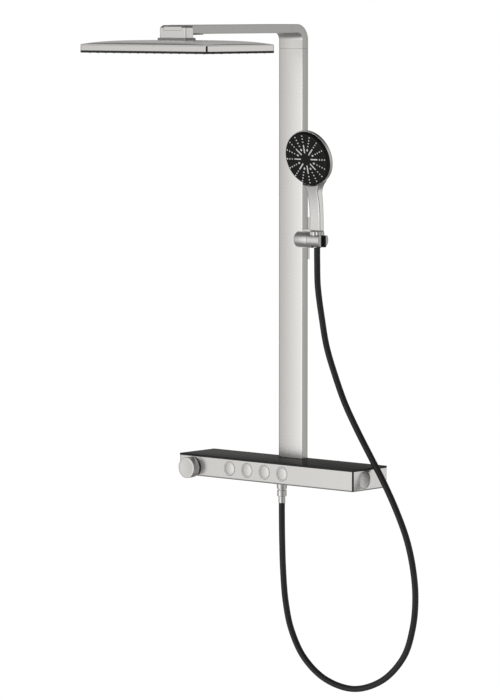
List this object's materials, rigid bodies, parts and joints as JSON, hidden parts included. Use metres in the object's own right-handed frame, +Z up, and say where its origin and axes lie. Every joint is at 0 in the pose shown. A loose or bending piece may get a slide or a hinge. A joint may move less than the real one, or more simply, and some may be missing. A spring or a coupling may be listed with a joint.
{
  "type": "rainfall shower column",
  "caption": "Wall-mounted shower column: shelf-like thermostatic valve with push-and-turn controls, flat riser, rectangular overhead head and a hand shower on a slider with hose.",
  "frame": {"origin": "midway between the two wall inlets, on the wall plane, on the inlets' axis", "axes": "+Z up along the column, +X to the user's right as they face the wall, +Y into the wall"},
  "size_m": [0.6275, 0.5595, 1.4355],
  "materials": {
    "satin_steel": "fine satin, warm nickel tone",
    "satin_column": "satin, same warm tone as the steel",
    "plated_plastic": "satin metal plating on moulded plastic",
    "black_glass": "polished tempered glass, black behind",
    "black_plastic": "fine matt moulding",
    "black_face": "semi-gloss",
    "white_silicone": "soft matt",
    "grey_silicone": "soft matt",
    "brass": "cast and machined",
    "spring_steel": "drawn wire",
    "grey_metal": "satin dark grey",
    "hose_black": "satin black, fine ribs under a smooth sleeve",
    "seal_rubber": "matt"
  },
  "bodies": {
    "root": {"valve_shell": "satin_steel", "valve_tray": "black_plastic", "valve_back_plate": "grey_metal", "valve_corner_strips": "black_plastic", "glass_shelf": "black_glass", "manifold": "brass", "thermostat_cartridge": "brass", "flow_cartridges": "brass", "side_cartridge": "brass", "knob_collar": "black_plastic", "cap_spring_1": "spring_steel", "cap_spring_2": "spring_steel", "cap_spring_3": "spring_steel", "cap_spring_4": "spring_steel", "side_spring": "spring_steel", "wall_unions": "brass", "escutcheons": "satin_steel", "inlet_nuts": "satin_steel", "inlet_seals": "seal_rubber", "foot_gasket": "seal_rubber", "column": "satin_column", "riser_pipe": "brass", "elbow": "satin_column", "arm": "satin_column", "arm_cover_strip": "grey_metal", "wall_bracket": "grey_metal", "hub": "satin_steel", "hub_flange": "grey_metal", "head_nipple": "brass", "head_cover": "satin_steel", "head_band": "satin_steel", "head_corner_strips": "black_plastic", "head_chamber": "black_plastic", "head_plate": "black_plastic", "head_nozzles": "grey_silicone", "hose_outlet": "satin_steel", "hose_nut": "satin_steel", "hose": "hose_black"},
    "knob": {"temperature_knob": "satin_steel"},
    "ring_1": {"flow_ring_1": "satin_steel"},
    "cap_1": {"flow_cap_1": "satin_steel"},
    "ring_2": {"flow_ring_2": "satin_steel"},
    "cap_2": {"flow_cap_2": "satin_steel"},
    "ring_3": {"flow_ring_3": "satin_steel"},
    "cap_3": {"flow_cap_3": "satin_steel"},
    "ring_4": {"flow_ring_4": "satin_steel"},
    "cap_4": {"flow_cap_4": "satin_steel"},
    "side": {"side_cap": "satin_steel"},
    "tab": {"release_tab": "satin_steel"},
    "slider": {"slider_carriage": "satin_steel", "slider_keys": "black_plastic", "holder_barrel": "satin_steel", "holder_washer": "black_plastic"},
    "holder": {"holder_cup": "satin_steel", "holder_liner": "black_plastic"},
    "cone": {"hose_cone": "plated_plastic"},
    "handset": {"hand_shell": "plated_plastic", "hand_rim": "plated_plastic", "hand_face": "black_face", "hand_sprays": "white_silicone"}
  },
  "joints": [
    {"name": "temperature_turn", "type": "hinge", "parent": "root", "child": "knob", "pos_m": [-0.2115, -0.159, -0.0027], "axis": [0, 1, 0], "range_deg": [-150, 120]},
    {"name": "flow_1_turn", "type": "hinge", "parent": "root", "child": "ring_1", "pos_m": [-0.1025, -0.159, 0.002], "axis": [0, 1, 0], "range_deg": [-120, 120]},
    {"name": "flow_1_press", "type": "slide", "parent": "ring_1", "child": "cap_1", "axis": [0, 1, 0], "range_m": [0, 0.0025], "stiffness_N_per_m": 600, "springref_m": -0.002, "deforming": ["cap_spring_1"]},
    {"name": "flow_2_turn", "type": "hinge", "parent": "root", "child": "ring_2", "pos_m": [-0.052, -0.159, 0.002], "axis": [0, 1, 0], "range_deg": [-120, 120]},
    {"name": "flow_2_press", "type": "slide", "parent": "ring_2", "child": "cap_2", "axis": [0, 1, 0], "range_m": [0, 0.0025], "stiffness_N_per_m": 600, "springref_m": -0.002, "deforming": ["cap_spring_2"]},
    {"name": "flow_3_turn", "type": "hinge", "parent": "root", "child": "ring_3", "pos_m": [-0.0015, -0.159, 0.002], "axis": [0, 1, 0], "range_deg": [-120, 120]},
    {"name": "flow_3_press", "type": "slide", "parent": "ring_3", "child": "cap_3", "axis": [0, 1, 0], "range_m": [0, 0.0025], "stiffness_N_per_m": 600, "springref_m": -0.002, "deforming": ["cap_spring_3"]},
    {"name": "flow_4_turn", "type": "hinge", "parent": "root", "child": "ring_4", "pos_m": [0.049, -0.159, 0.002], "axis": [0, 1, 0], "range_deg": [-120, 120]},
    {"name": "flow_4_press", "type": "slide", "parent": "ring_4", "child": "cap_4", "axis": [0, 1, 0], "range_m": [0, 0.0025], "stiffness_N_per_m": 600, "springref_m": -0.002, "deforming": ["cap_spring_4"]},
    {"name": "side_press", "type": "slide", "parent": "root", "child": "side", "axis": [-1, 0, 0], "range_m": [0, 0.0025], "stiffness_N_per_m": 700, "springref_m": -0.002, "deforming": ["side_spring"]},
    {"name": "tab_press", "type": "slide", "parent": "root", "child": "tab", "axis": [0, 1, 0], "range_m": [0, 0.0015], "stiffness_N_per_m": 800, "springref_m": -0.001},
    {"name": "slider_lift", "type": "slide", "parent": "root", "child": "slider", "axis": [0, 0, 1], "range_m": [-0.16, 0.14], "deforming": ["hose"]},
    {"name": "holder_tilt", "type": "hinge", "parent": "slider", "child": "holder", "pos_m": [0.0895, -0.09, 0.507], "axis": [1, 0, 0], "range_deg": [-3, 35]},
    {"name": "handset_lift", "type": "slide", "parent": "holder", "child": "cone", "axis": [0, -0.0175, 0.9998], "range_m": [0, 0.06]},
    {"name": "handset_turn", "type": "hinge", "parent": "cone", "child": "handset", "pos_m": [0.0895, -0.09, 0.507], "axis": [0, -0.0175, 0.9998], "range_deg": [-15, 90]}
  ]
}
